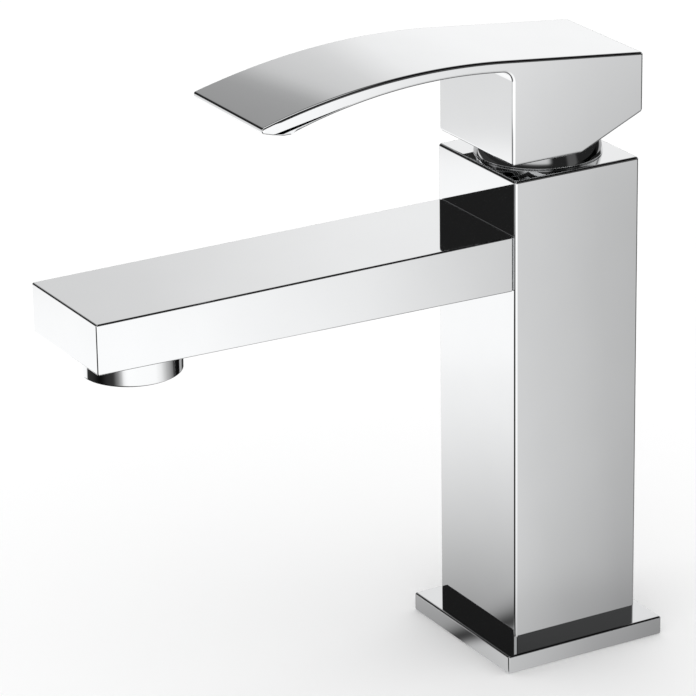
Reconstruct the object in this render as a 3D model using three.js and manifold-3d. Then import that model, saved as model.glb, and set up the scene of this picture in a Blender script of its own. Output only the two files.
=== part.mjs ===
// Square single-lever basin mixer: column, flat spout, ceramic-disc cartridge and lever handle.
// Millimetres, +Z up. The origin is on the deck, on the column's axis. The spout and the lever
// point along -Y. Seen from there, hot is on the left (-X) and cold on the right (+X).

import * as THREE from 'three';
import { mergeVertices } from 'three/addons/utils/BufferGeometryUtils.js';
import Module from 'manifold-3d';

const wasm = await Module();
wasm.setup();

// ---------------------------------------------------------------- driving dimensions

const gap = 0.3;                    // clearance between pieces that rest on or fit into each other
const runGap = 0.15;                // radial clearance of a shaft that turns in its hole
const through = 1;                  // how far a cutting tool runs past the face that it opens
const overlap = 0.5;                // how far two joined parts of one piece run into each other
const largeSides = 28;              // facets round a large turned piece
const smallSides = 16;              // facets round a small one
const tinySides = 8;                // facets round a drilled hole of a millimetre or two
const sphereRings = 20;             // facets from pole to pole of a large sphere

// column
const columnSide = 40;
const columnTop = 142.5;
const columnWall = 3;
const seatBlockHeight = 16.8;       // solid brass under the floor of the cartridge bore

// base plate, gasket and foot
const plateOverhang = 5.6;          // how far the plate shows round the column
const plateHeight = 5.4;
const gasketInset = 2.6;            // from the plate's sides
const gasketWidth = 3.2;
const gasketHeight = 1.6;
const footInset = 2;                // the round foot is smaller than the column
const footHeight = 19;
const inletX = 8;
const inletY = -2;
const inletThreadR = 4.7;
const inletThreadDepth = 12;
const studInset = 7;                // the fixing stud, from the edge of the foot
const studThreadR = 3.6;
const studThreadDepth = 15;

// water tubes
const riserR = 4;
const riserBoreR = 3;
const riserPlugDepth = 5;
const riserStraight = 6;            // straight length past each socket before the bend
const riserSteps = 9;
const riserHalfSides = 5;
const spoutTubeR = 3;
const spoutTubeBoreR = 2.2;
const spoutTubePlugDepth = 4.8;
const bossPlugDepth = 2;

// spout
const spoutInset = 1.1;             // each side of the spout, from the column's side
const spoutDrop = 15.9;             // from the top of the column to the top of the spout
const spoutReach = 125.8;           // from the column's front face to the tip
const spoutTipHeight = 14;
const spoutTaper = 1.8;             // the spout is this much deeper at the column
const spoutWall = 2;
const tenonLength = 2;

// outlet boss and aerator
const aeratorR = 12;
const aeratorHeight = 6.3;
const aeratorWall = 1.4;
const aeratorInset = 0.4;
const lipWidth = 1;
const lipHeight = 0.8;
const collarWidth = 1.8;            // the collar round the aerator's thread
const collarHeight = 8;
const bossNeckWidth = 0.9;
const bossRoof = 2;
const washerWidth = 3;
const washerHeight = 1.2;
const screenHeight = 0.5;
const screenPitch = 3.6;
const screenHoleSide = 2.2;
const insertWall = 1.2;
const insertFloor = 1.4;
const jetInset = 4.3;               // circle of jets, from the insert's edge
const jetR = 0.9;
const jetCount = 8;
const centreJetR = 1.2;
const keySlotWidth = 2.4;
const keySlotDepth = 0.5;
const keySlots = 4;

// ceramic-disc cartridge; what lies inside it grows with its radius
const cartridgeR = columnSide * 0.35;
const standardR = 14;               // the cartridge that the sizes below are given for
const cartridgeScale = cartridgeR / standardR;
const housingWall = 1.4;
const baseHeight = 2;
const discGasketHeight = 0.6;
const fixedDiscInset = 2;
const fixedDiscHeight = 2.6;
const movingDiscR = 9.8 * cartridgeScale;
const movingDiscHeight = 2.4;
const carrierHeight = 4.2;
const carrierFloor = 0.9;
const pivotDepth = 2.5;             // the lever's pivot, below the column's top
const pivotAboveCarrier = 5.6;
const neckR = 9.5 * cartridgeScale;
const neckHeight = 2.5;             // above the column's top
const shoulderDrop = 1.15;          // the housing's shoulder, below the pivot
const shoulderHeight = 1.4;
const slotEnd = 1.5;                // wall left at each end of the sleeve's slot
const pinR = 1.5;
const portX = 5.4 * cartridgeScale;
const portY = -2.8 * cartridgeScale;
const portR = 2.1 * cartridgeScale;
const outletPortY = 5.2 * cartridgeScale;
const chamberWidth = 13.2 * cartridgeScale;
const chamberLength = 8 * cartridgeScale;
const chamberDepth = 1.2;
const discTravel = 2.8;             // stroke of the moving disc from shut to fully open
const sealWidth = 1.3;
const sealHeight = 1;
const pegR = 1.5;
const pegX = 8.4 * cartridgeScale;
const pegY = 7.6 * cartridgeScale;
const pegLength = 1.5;

// stem
const stemWidth = 6;
const stemDepth = 7;
const stemRootDepth = 2.7;          // the flat part of the stem reaches this far below the pivot
const stemHeadSide = 8;
const stemHeadLift = 3.2;           // clears the sleeve's neck when the lever is up
const stemBallR = 2.4;
const stemRodR = 1.9;
const pocketGap = 0.45;             // round the ball, in the carrier

// nut, limit ring, clip ring and dome
const nutSkirt = 5;
const nutSkirtWall = 1.4;
const nutHexWall = 0.5;
const nutHexHeight = 3.8;
const limitRingHeight = 1.6;
const limitRingWidth = 1.8;
const limitTabWidth = 3;
const limitTabRoot = 0.4;
const limitTabReach = 0.9;
const clipRingHeight = 2.2;
const domeOverhang = 4;             // the dome is this much larger than the cartridge
const domeWall = 1.5;
const domeSteps = 4;

// handle
const socketGap = 0.6;              // between the dome and the handle's spherical hollow
const handleInset = 1;              // each side of the handle, from the column's side
const frontOverhang = 0.1;
const rearOverhang = 1.7;
const handleLift = 4;               // the handle's underside, above the column's top
const grubCover = 3.8;              // the grub screw's axis, above the hollow
const stemCover = 3.6;              // the stem's end, above the grub screw's axis
const topCover = 9.35;              // the top at the back, above the grub screw's axis
const heelLength = 19.5;            // where the underside starts to rise, from the back
const heelRise = 8.5;
const topSlopeDeg = 6.2;
const topArcStart = 1.9;            // from the front of the block, along the blade, as are the next
const underApexReach = 21.9;
const noseReach = 68.9;
const bladeReach = 76.1;
const topArcR = 200;
const tipFaceHeight = 1.5;
const underArcR = 155;
const underApexLift = 2.65;         // above the top at the back
const underFilletR = 3;
const grubR = 2.5;
const grubLength = 8;
const grubHexFlats = 2.5;
const grubHexDepth = 2.6;
const plugR = 3.5;
const plugHeight = 2.6;

// ---------------------------------------------------------------- sizes that follow from them

// column, base and foot
const columnFrontY = -columnSide / 2;
const cavitySide = columnSide - 2 * columnWall;
const plateSide = columnSide + 2 * plateOverhang;
const gasketOuterR = plateSide / 2 - gasketInset;
const footR = columnSide / 2 - footInset;
const studY = footR - studInset;

// cartridge, from its pivot down to the seat
const pivotZ = columnTop - pivotDepth;
const neckTopZ = columnTop + neckHeight;
const sleeveFlangeZ = pivotZ - pivotAboveCarrier;
const carrierTopZ = sleeveFlangeZ - gap;
const carrierZ = carrierTopZ - carrierHeight;
const movingDiscZ = carrierZ - gap - movingDiscHeight;
const fixedDiscZ = movingDiscZ - gap - fixedDiscHeight;
const discGasketZ = fixedDiscZ - gap - discGasketHeight;
const housingZ = discGasketZ;
const baseZ = housingZ - gap - baseHeight;
const seatZ = baseZ - gap;
const seatBlockZ = seatZ - seatBlockHeight;
const cartridgeBoreR = cartridgeR + gap;
const housingBoreR = cartridgeR - housingWall;
const housingNeckR = neckR + gap + housingWall;
const fixedDiscR = cartridgeR - fixedDiscInset;
const shoulderZ = pivotZ - shoulderDrop - shoulderHeight;
const shoulderTopZ = shoulderZ + shoulderHeight;
const stemBallZ = carrierZ + carrierFloor + gap + stemBallR;
const stemHeadZ = neckTopZ + stemHeadLift;

// spout, outlet and aerator
const spoutWidth = columnSide - 2 * spoutInset;
const spoutTop = columnTop - spoutDrop;
const spoutRootHeight = spoutTipHeight + spoutTaper;
const spoutRootY = columnFrontY - gap;
const spoutTipY = columnFrontY - spoutReach;
const spoutTubeZ = spoutTop - spoutTipHeight + spoutWall + gap + spoutTubeR;
const bossY = spoutTipY + spoutWidth / 2;
const bossBottomZ = spoutTop - spoutTipHeight - collarHeight;
const bossR = aeratorR + collarWidth;
const bossNeckR = aeratorR + bossNeckWidth;
const chamberR = aeratorR - washerWidth;
const aeratorZ = bossBottomZ + aeratorInset;
const lipTopZ = aeratorZ + lipHeight;
const screenZ = lipTopZ + gap;
const insertZ = screenZ + screenHeight + gap;
const aeratorTopZ = aeratorZ + aeratorHeight;
const washerZ = aeratorTopZ + gap;
const insertR = aeratorR - aeratorWall - gap;

// nut, rings and dome
const nutFlangeZ = shoulderTopZ + gap;
const nutSkirtZ = nutFlangeZ - nutSkirt;
const nutBoreR = housingNeckR + gap;
const nutHexR = (2 * (nutBoreR + nutHexWall)) / Math.sqrt(3);
const nutTopZ = columnTop + nutHexHeight;
const nutThreadR = cartridgeBoreR + nutSkirtWall;
const threadBoreR = nutThreadR + gap;
const clipRingInnerR = nutHexR + gap;
const domeBaseZ = columnTop + gap;
const domeR = cartridgeR + domeOverhang;
const domeOpeningR = domeR * 0.75;

// handle
const socketR = domeR + socketGap;
const handleWidth = columnSide - 2 * handleInset;
const handleFrontY = columnFrontY - frontOverhang;
const handleRearY = columnSide / 2 + rearOverhang;
const handleBottomZ = columnTop + handleLift;
const grubZ = pivotZ + socketR + grubCover;
const stemTopZ = grubZ + stemCover;
const handleRearTopZ = grubZ + topCover;
const heelY = handleRearY - heelLength;
const heelRearZ = handleBottomZ + heelRise;
const topArcY = handleFrontY - topArcStart;
const underApexY = handleFrontY - underApexReach;
const underApexZ = handleRearTopZ + underApexLift;
const noseY = handleFrontY - noseReach;
const tipY = handleFrontY - bladeReach;
const topSlope = THREE.MathUtils.degToRad(topSlopeDeg);

// ---------------------------------------------------------------- materials

const finishes = {
  chrome: { color: 0xd9dcdf, roughness: 0.05, metalness: 1 },
  brass: { color: 0xb8974e, roughness: 0.35, metalness: 1 },
  copper: { color: 0xb8734a, roughness: 0.35, metalness: 1 },
  steel: { color: 0xa8abad, roughness: 0.3, metalness: 1 },
  rubber: { color: 0x1b1b1c, roughness: 0.8, metalness: 0 },
  ceramic: { color: 0xf0ede4, roughness: 0.25, metalness: 0 },
  whitePlastic: { color: 0xe6e4dd, roughness: 0.5, metalness: 0 },
  greyPlastic: { color: 0x6f7479, roughness: 0.5, metalness: 0 },
  indexPlastic: { color: 0x2f5fae, roughness: 0.35, metalness: 0 },
  limitPlastic: { color: 0xb3392f, roughness: 0.5, metalness: 0 },
};

const materials = Object.fromEntries(
  Object.entries(finishes).map(([name, values]) => [name, new THREE.MeshStandardMaterial(values)]),
);

// ---------------------------------------------------------------- making and joining solids

// A closed geometry as a solid that can be joined and cut.
function solid(geometry) {
  const bare = geometry.clone();
  bare.deleteAttribute('normal');
  bare.deleteAttribute('uv');
  const merged = mergeVertices(bare, 1e-4);
  const index = merged.index.array;
  const kept = [];
  for (let i = 0; i < index.length; i += 3) {
    const [a, b, c] = [index[i], index[i + 1], index[i + 2]];
    if (a !== b && b !== c && c !== a) kept.push(a, b, c);
  }
  const mesh = new wasm.Mesh({
    numProp: 3,
    vertProperties: new Float32Array(merged.attributes.position.array),
    triVerts: new Uint32Array(kept),
  });
  return new wasm.Manifold(mesh);
}

// A solid as a named mesh.
function piece(name, body, material) {
  const data = body.getMesh();
  const geometry = new THREE.BufferGeometry();
  geometry.setAttribute('position', new THREE.BufferAttribute(data.vertProperties, 3));
  geometry.setIndex(new THREE.BufferAttribute(data.triVerts, 1));
  geometry.computeVertexNormals();
  const mesh = new THREE.Mesh(geometry, material);
  mesh.name = name;
  return mesh;
}

// A box between two corners.
function block([x0, y0, z0], [x1, y1, z1]) {
  const geometry = new THREE.BoxGeometry(x1 - x0, y1 - y0, z1 - z0);
  geometry.translate((x0 + x1) / 2, (y0 + y1) / 2, (z0 + z1) / 2);
  return solid(geometry);
}

// A square bar about the Z axis.
function squareBar(side, z0, z1) {
  return block([-side / 2, -side / 2, z0], [side / 2, side / 2, z1]);
}

// A round bar along Z at (x, y), or, with six sides, a hexagonal one.
function rod(radius, z0, z1, x = 0, y = 0, sides = smallSides) {
  const geometry = new THREE.CylinderGeometry(radius, radius, z1 - z0, sides);
  geometry.rotateX(Math.PI / 2);
  geometry.translate(x, y, (z0 + z1) / 2);
  return solid(geometry);
}

// A round bar along Y at (x, z).
function rodAlongY(radius, y0, y1, x, z, sides = smallSides) {
  const geometry = new THREE.CylinderGeometry(radius, radius, y1 - y0, sides);
  geometry.translate(x, (y0 + y1) / 2, z);
  return solid(geometry);
}

// A round bar along X at (y, z), centred on x = 0.
function rodAlongX(radius, length, y, z, sides = smallSides) {
  const geometry = new THREE.CylinderGeometry(radius, radius, length, sides);
  geometry.rotateZ(Math.PI / 2);
  geometry.translate(0, y, z);
  return solid(geometry);
}

// A body of revolution about a line along Z at (x, y). The outline's [radius, z] points close on
// themselves and run anticlockwise, seen with the radius to the right and z up.
function turned(outline, x = 0, y = 0, sides = largeSides) {
  const points = [...outline, outline[0]].map(([r, z]) => new THREE.Vector2(r, z));
  const geometry = new THREE.LatheGeometry(points, sides);
  geometry.rotateX(Math.PI / 2);
  geometry.translate(x, y, 0);
  return solid(geometry);
}

// A plain ring about a line along Z.
function ring(innerR, outerR, z0, z1, x = 0, y = 0, sides = largeSides) {
  return turned([[innerR, z0], [outerR, z0], [outerR, z1], [innerR, z1]], x, y, sides);
}

// Points on an arc of the given centre and radius, between two angles.
function arc(centreR, centreZ, radius, from, to, steps) {
  return Array.from({ length: steps + 1 }, (_, i) => {
    const angle = from + ((to - from) * i) / steps;
    return [centreR + radius * Math.cos(angle), centreZ + radius * Math.sin(angle)];
  });
}

// A shape drawn in the (Y, Z) plane, as wide along X as given and centred on x = 0.
function slab(shape, width, curveSegments = 12) {
  const geometry = new THREE.ExtrudeGeometry(shape, { depth: width, bevelEnabled: false, curveSegments });
  geometry.translate(0, 0, -width / 2);
  geometry.applyMatrix4(new THREE.Matrix4().makeBasis(
    new THREE.Vector3(0, 1, 0),
    new THREE.Vector3(0, 0, 1),
    new THREE.Vector3(1, 0, 0),
  ));
  return solid(geometry);
}

// A four-cornered outline in the (Y, Z) plane.
function quad(corners) {
  return new THREE.Shape(corners.map(([y, z]) => new THREE.Vector2(y, z)));
}

// A round tube along a curve, with twice as many sides as halfSides.
function tube(path, outerR, innerR, steps, halfSides) {
  const section = new THREE.Shape().absarc(0, 0, outerR, 0, 2 * Math.PI);
  section.holes.push(new THREE.Path().absarc(0, 0, innerR, 0, 2 * Math.PI, true));
  const geometry = new THREE.ExtrudeGeometry(section, {
    steps,
    extrudePath: path,
    curveSegments: halfSides,
    bevelEnabled: false,
  });
  return solid(geometry);
}

// ---------------------------------------------------------------- base

function basePlate() {
  const plate = squareBar(plateSide, 0, plateHeight);
  const footHole = rod(footR + gap, -through, plateHeight + through, 0, 0, largeSides);
  const groove = ring(
    gasketOuterR - gasketWidth - gap, gasketOuterR + gap, -through, gasketHeight + gap,
  );
  return piece('base_plate', plate.subtract(footHole).subtract(groove), materials.chrome);
}

function baseGasket() {
  const body = ring(gasketOuterR - gasketWidth, gasketOuterR, 0, gasketHeight);
  return piece('base_gasket', body, materials.rubber);
}

function baseFoot() {
  let body = rod(footR, 0, plateHeight + gap, 0, 0, largeSides);
  body = body.add(squareBar(cavitySide - 2 * gap, plateHeight + gap, footHeight));
  for (const side of [1, -1]) {
    const x = side * inletX;
    body = body.subtract(rod(inletThreadR, -through, inletThreadDepth, x, inletY));
    body = body.subtract(rod(riserBoreR, 0, footHeight + through, x, inletY));
    body = body.subtract(rod(
      riserR + gap, footHeight - riserPlugDepth - gap, footHeight + through, x, inletY,
    ));
  }
  body = body.subtract(rod(studThreadR, -through, studThreadDepth, 0, studY));
  return piece('base_foot', body, materials.brass);
}

// ---------------------------------------------------------------- column and water tubes

function columnBody() {
  let body = squareBar(columnSide, plateHeight + gap, columnTop);
  body = body.subtract(squareBar(cavitySide, plateHeight, seatBlockZ));
  body = body.subtract(rod(cartridgeBoreR, seatZ, columnTop + through, 0, 0, largeSides));
  body = body.subtract(rod(threadBoreR, nutSkirtZ - gap, columnTop + through, 0, 0, largeSides));

  const tenonWidth = spoutWidth - 2 * (spoutWall + gap);
  const tenonLowZ = spoutTop - spoutRootHeight + spoutWall + 2 * gap;
  const tenon = block(
    [-tenonWidth / 2, columnFrontY - tenonLength, tenonLowZ],
    [tenonWidth / 2, columnFrontY + through, spoutTop - spoutWall - gap],
  );
  body = body.add(tenon);

  for (const side of [1, -1]) {
    body = body.subtract(rod(portR, seatBlockZ, seatZ + through, side * portX, portY));
    body = body.subtract(rod(
      riserR + gap, seatBlockZ - through, seatBlockZ + riserPlugDepth + gap, side * portX, portY,
    ));
    body = body.subtract(rod(pegR + gap, seatZ - pegLength - gap, seatZ + through, side * pegX, pegY));
  }

  const tubeSocketY = columnFrontY + spoutTubePlugDepth + gap;
  body = body.subtract(rod(portR, spoutTubeZ, seatZ + through, 0, outletPortY));
  body = body.subtract(rodAlongY(portR, columnFrontY, outletPortY, 0, spoutTubeZ));
  body = body.subtract(rodAlongY(
    spoutTubeR + gap, columnFrontY - tenonLength - through, tubeSocketY, 0, spoutTubeZ,
  ));
  return piece('column_body', body, materials.chrome);
}

// Hot and cold risers bend gently from the inlets in the foot to the ports under the cartridge.
function riser(name, side) {
  const lowZ = footHeight - riserPlugDepth;
  const highZ = seatBlockZ + riserPlugDepth;
  const straight = riserPlugDepth + riserStraight;
  const low = new THREE.Vector3(side * inletX, inletY, lowZ);
  const high = new THREE.Vector3(side * portX, portY, highZ);
  const path = new THREE.CurvePath();
  const lowEnd = low.clone().setZ(lowZ + straight);
  const highStart = high.clone().setZ(highZ - straight);
  path.add(new THREE.LineCurve3(low, lowEnd));
  path.add(new THREE.CubicBezierCurve3(
    lowEnd,
    lowEnd.clone().setZ((lowZ + highZ) / 2),
    highStart.clone().setZ((lowZ + highZ) / 2),
    highStart,
  ));
  path.add(new THREE.LineCurve3(highStart, high));
  return piece(name, tube(path, riserR, riserBoreR, riserSteps, riserHalfSides), materials.copper);
}

function spoutTube() {
  const rearY = columnFrontY + spoutTubePlugDepth;
  const frontY = bossY + bossNeckR - bossPlugDepth;
  const path = new THREE.LineCurve3(
    new THREE.Vector3(0, rearY, spoutTubeZ),
    new THREE.Vector3(0, frontY, spoutTubeZ),
  );
  return piece('spout_tube', tube(path, spoutTubeR, spoutTubeBoreR, 1, 8), materials.copper);
}

// ---------------------------------------------------------------- spout, outlet and aerator

// Height of the spout's underside at a given y: it rises evenly from the column to the tip.
function spoutUnderZ(y) {
  const share = (columnFrontY - y) / spoutReach;
  return spoutTop - THREE.MathUtils.lerp(spoutRootHeight, spoutTipHeight, share);
}

function spoutBody() {
  const outer = slab(quad([
    [spoutTipY, spoutUnderZ(spoutTipY)],
    [spoutRootY, spoutUnderZ(spoutRootY)],
    [spoutRootY, spoutTop],
    [spoutTipY, spoutTop],
  ]), spoutWidth);
  const innerTipY = spoutTipY + spoutWall;
  const innerRootY = spoutRootY + through;
  const inner = slab(quad([
    [innerTipY, spoutUnderZ(innerTipY) + spoutWall],
    [innerRootY, spoutUnderZ(innerRootY) + spoutWall],
    [innerRootY, spoutTop - spoutWall],
    [innerTipY, spoutTop - spoutWall],
  ]), spoutWidth - 2 * spoutWall);
  const outlet = rod(bossNeckR + gap, bossBottomZ, spoutTop - spoutWall - gap, 0, bossY, largeSides);
  return piece('spout_body', outer.subtract(inner).subtract(outlet), materials.chrome);
}

function outletBoss() {
  const collarTopZ = spoutUnderZ(bossY + bossR) - gap;
  const roofZ = spoutTop - spoutWall - gap;
  const threadTopZ = washerZ + washerHeight + 2 * gap;
  const cup = turned([
    [0, threadTopZ],
    [aeratorR + gap, threadTopZ],
    [aeratorR + gap, bossBottomZ],
    [bossR, bossBottomZ],
    [bossR, collarTopZ],
    [bossNeckR, collarTopZ],
    [bossNeckR, roofZ],
    [0, roofZ],
  ], 0, bossY);
  const chamber = rod(chamberR, threadTopZ - through, roofZ - bossRoof, 0, bossY);
  const backY = bossY + bossNeckR;
  const inlet = rodAlongY(spoutTubeBoreR, bossY, backY, 0, spoutTubeZ);
  const socket = rodAlongY(
    spoutTubeR + gap, backY - bossPlugDepth - gap, backY + through, 0, spoutTubeZ,
  );
  const body = cup.subtract(chamber).subtract(inlet).subtract(socket);
  return piece('outlet_boss', body, materials.chrome);
}

// A threaded sleeve with an inward lip at its mouth, and key slots that a service tool turns.
function aeratorHousing() {
  const innerR = aeratorR - aeratorWall;
  const lipR = innerR - lipWidth;
  let body = turned([
    [lipR, aeratorZ],
    [aeratorR, aeratorZ],
    [aeratorR, aeratorTopZ],
    [innerR, aeratorTopZ],
    [innerR, lipTopZ],
    [lipR, lipTopZ],
  ], 0, bossY);
  for (let i = 0; i < keySlots; i += 1) {
    const angle = (i * 2 * Math.PI) / keySlots;
    const x = aeratorR * Math.cos(angle);
    const y = bossY + aeratorR * Math.sin(angle);
    body = body.subtract(block(
      [x - keySlotWidth / 2, y - keySlotWidth / 2, aeratorZ - through],
      [x + keySlotWidth / 2, y + keySlotWidth / 2, aeratorZ + keySlotDepth],
    ));
  }
  return piece('aerator_housing', body, materials.chrome);
}

function aeratorScreen() {
  const topZ = screenZ + screenHeight;
  const half = screenHoleSide / 2;
  const reach = Math.floor(insertR / screenPitch);
  let body = rod(insertR, screenZ, topZ, 0, bossY);
  for (let i = -reach; i <= reach; i += 1) {
    for (let j = -reach; j <= reach; j += 1) {
      const [x, y] = [i * screenPitch, j * screenPitch];
      if (Math.hypot(x, y) + screenHoleSide > insertR) continue;
      body = body.subtract(block(
        [x - half, bossY + y - half, screenZ - through],
        [x + half, bossY + y + half, topZ + through],
      ));
    }
  }
  return piece('aerator_screen', body, materials.steel);
}

// Flow straightener: a cup with a drilled floor that breaks the flow into jets.
function aeratorInsert() {
  const floorZ = insertZ + insertFloor;
  const circleR = insertR - jetInset;
  let body = rod(insertR, insertZ, aeratorTopZ, 0, bossY);
  body = body.subtract(rod(insertR - insertWall, floorZ, aeratorTopZ + through, 0, bossY));
  for (let i = 0; i < jetCount; i += 1) {
    const angle = (i * 2 * Math.PI) / jetCount;
    const x = circleR * Math.cos(angle);
    const y = bossY + circleR * Math.sin(angle);
    body = body.subtract(rod(jetR, insertZ - through, floorZ + through, x, y, tinySides));
  }
  body = body.subtract(rod(centreJetR, insertZ - through, floorZ + through, 0, bossY, tinySides));
  return piece('aerator_insert', body, materials.whitePlastic);
}

function aeratorWasher() {
  const body = ring(chamberR, aeratorR, washerZ, washerZ + washerHeight, 0, bossY);
  return piece('aerator_washer', body, materials.rubber);
}

// ---------------------------------------------------------------- cartridge

const ports = {
  hot: { x: -portX, y: portY },
  cold: { x: portX, y: portY },
  outlet: { x: 0, y: outletPortY },
};

// Cuts the hot, cold and outlet ports through a disc.
function drillPorts(body, radius, z0, z1) {
  return Object.values(ports).reduce(
    (left, { x, y }) => left.subtract(rod(radius, z0 - through, z1 + through, x, y)),
    body,
  );
}

const sealR = portR + sealWidth;
const sealZ = seatZ + gap / 2;

function cartridgeBase() {
  let body = rod(cartridgeR, baseZ, baseZ + baseHeight, 0, 0, largeSides);
  for (const side of [1, -1]) {
    body = body.add(rod(pegR, seatZ - pegLength, baseZ + overlap, side * pegX, pegY, tinySides));
  }
  body = drillPorts(body, portR, baseZ, baseZ + baseHeight);
  for (const { x, y } of Object.values(ports)) {
    body = body.subtract(rod(sealR + gap, baseZ - through, sealZ + sealHeight + gap, x, y));
  }
  return piece('cartridge_base', body, materials.greyPlastic);
}

function portSeal(name, { x, y }) {
  return piece(name, ring(portR, sealR, sealZ, sealZ + sealHeight, x, y, smallSides), materials.rubber);
}

function discGasket() {
  const topZ = discGasketZ + discGasketHeight;
  const disc = rod(fixedDiscR, discGasketZ, topZ, 0, 0, largeSides);
  const body = drillPorts(disc, portR, discGasketZ, topZ);
  return piece('disc_gasket', body, materials.rubber);
}

function fixedDisc() {
  const topZ = fixedDiscZ + fixedDiscHeight;
  const disc = rod(fixedDiscR, fixedDiscZ, topZ, 0, 0, largeSides);
  const body = drillPorts(disc, portR, fixedDiscZ, topZ);
  return piece('fixed_disc', body, materials.ceramic);
}

// The chamber in its underside joins the outlet to the inlets once the disc has moved forward.
function movingDisc() {
  const topZ = movingDiscZ + movingDiscHeight;
  const chamberFrontY = portY + portR + gap;
  const disc = rod(movingDiscR, movingDiscZ, topZ, 0, discTravel / 2, largeSides);
  const chamber = block(
    [-chamberWidth / 2, chamberFrontY, movingDiscZ - through],
    [chamberWidth / 2, chamberFrontY + chamberLength, movingDiscZ + chamberDepth],
  );
  return piece('moving_disc', disc.subtract(chamber), materials.ceramic);
}

// Pushes the moving disc: the ball of the stem sits in its pocket.
function discCarrier() {
  const pocketHalf = stemBallR + pocketGap;
  const body = rod(movingDiscR, carrierZ, carrierTopZ, 0, discTravel / 2, largeSides);
  const pocket = block(
    [-pocketHalf, -pocketHalf, carrierZ + carrierFloor],
    [pocketHalf, pocketHalf, carrierTopZ + through],
  );
  return piece('disc_carrier', body.subtract(pocket), materials.whitePlastic);
}

function cartridgeHousing() {
  const body = turned([
    [housingBoreR, housingZ],
    [cartridgeR, housingZ],
    [cartridgeR, shoulderTopZ],
    [housingNeckR, shoulderTopZ],
    [housingNeckR, neckTopZ],
    [neckR + gap, neckTopZ],
    [neckR + gap, shoulderZ],
    [housingBoreR, shoulderZ],
  ]);
  return piece('cartridge_housing', body, materials.greyPlastic);
}

// Turns in the housing with the handle. Its neck holds the pivot pin and its two cheeks guide
// the carrier, so that the disc slides in the handle's own plane.
function turnSleeve() {
  const flangeR = housingBoreR - gap;
  const cheekX = movingDiscR + gap;
  const slotWidth = stemWidth + 2 * gap;
  const slotLength = 2 * (neckR - slotEnd);
  let body = rod(flangeR, carrierZ + gap, shoulderZ - gap, 0, 0, largeSides);
  body = body.subtract(block(
    [-cheekX, -cartridgeR, carrierZ],
    [cheekX, cartridgeR, sleeveFlangeZ],
  ));
  body = body.add(rod(neckR, sleeveFlangeZ + gap, neckTopZ, 0, 0, largeSides));
  body = body.subtract(block(
    [-slotWidth / 2, -slotLength / 2, sleeveFlangeZ - through],
    [slotWidth / 2, slotLength / 2, neckTopZ + through],
  ));
  body = body.subtract(rodAlongX(pinR + runGap, 2 * cartridgeR, 0, pivotZ));
  return piece('turn_sleeve', body, materials.whitePlastic);
}

function pivotPin() {
  return piece('pivot_pin', rodAlongX(pinR, 2 * neckR - 2 * gap, 0, pivotZ), materials.steel);
}

// ---------------------------------------------------------------- nut, rings and dome

function retainingNut() {
  const ringPart = turned([
    [nutBoreR, nutFlangeZ],
    [cartridgeBoreR, nutFlangeZ],
    [cartridgeBoreR, nutSkirtZ],
    [nutThreadR, nutSkirtZ],
    [nutThreadR, columnTop],
    [nutBoreR, columnTop],
  ]);
  const hex = rod(nutHexR, columnTop - overlap, nutTopZ, 0, 0, 6);
  const hole = rod(nutBoreR, columnTop - through, nutTopZ + through, 0, 0, largeSides);
  return piece('retaining_nut', ringPart.add(hex.subtract(hole)), materials.brass);
}

// Its inward tab stops the sleeve before the water gets too hot.
function hotLimitRing() {
  const z = neckTopZ + gap;
  const innerR = housingNeckR - limitRingWidth;
  const body = ring(innerR, housingNeckR, z, z + limitRingHeight);
  const tab = block(
    [-limitTabWidth / 2, -housingNeckR + limitTabRoot, z],
    [limitTabWidth / 2, -innerR + limitTabReach, z + limitRingHeight],
  );
  return piece('hot_limit_ring', body.add(tab), materials.limitPlastic);
}

function domeClipRing() {
  const topZ = domeBaseZ + clipRingHeight;
  const outerR = Math.sqrt((domeR - domeWall) ** 2 - (topZ - pivotZ) ** 2) - gap;
  const body = ring(clipRingInnerR, outerR, domeBaseZ, topZ);
  return piece('dome_clip_ring', body, materials.whitePlastic);
}

function domeCover() {
  const innerR = domeR - domeWall;
  const outer = arc(
    0, pivotZ, domeR,
    Math.asin((domeBaseZ - pivotZ) / domeR), Math.acos(domeOpeningR / domeR), domeSteps,
  );
  const inner = arc(
    0, pivotZ, innerR,
    Math.acos((domeOpeningR - domeWall) / innerR), Math.asin((domeBaseZ - pivotZ) / innerR), domeSteps,
  );
  return piece('dome_cover', turned([...outer, ...inner]), materials.chrome);
}

// ---------------------------------------------------------------- lever

function stem() {
  const halfWidth = stemWidth / 2;
  const halfDepth = stemDepth / 2;
  const ball = new THREE.SphereGeometry(stemBallR, smallSides, sphereRings / 2);
  ball.translate(0, 0, stemBallZ);
  let body = solid(ball);
  body = body.add(rod(stemRodR, stemBallZ, pivotZ));
  body = body.add(block(
    [-halfWidth, -halfDepth, pivotZ - stemRootDepth],
    [halfWidth, halfDepth, stemHeadZ + gap],
  ));
  body = body.add(squareBar(stemHeadSide, stemHeadZ, stemTopZ));
  body = body.subtract(rodAlongX(pinR + runGap, 2 * stemWidth, 0, pivotZ));
  return piece('stem', body, materials.brass);
}

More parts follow.
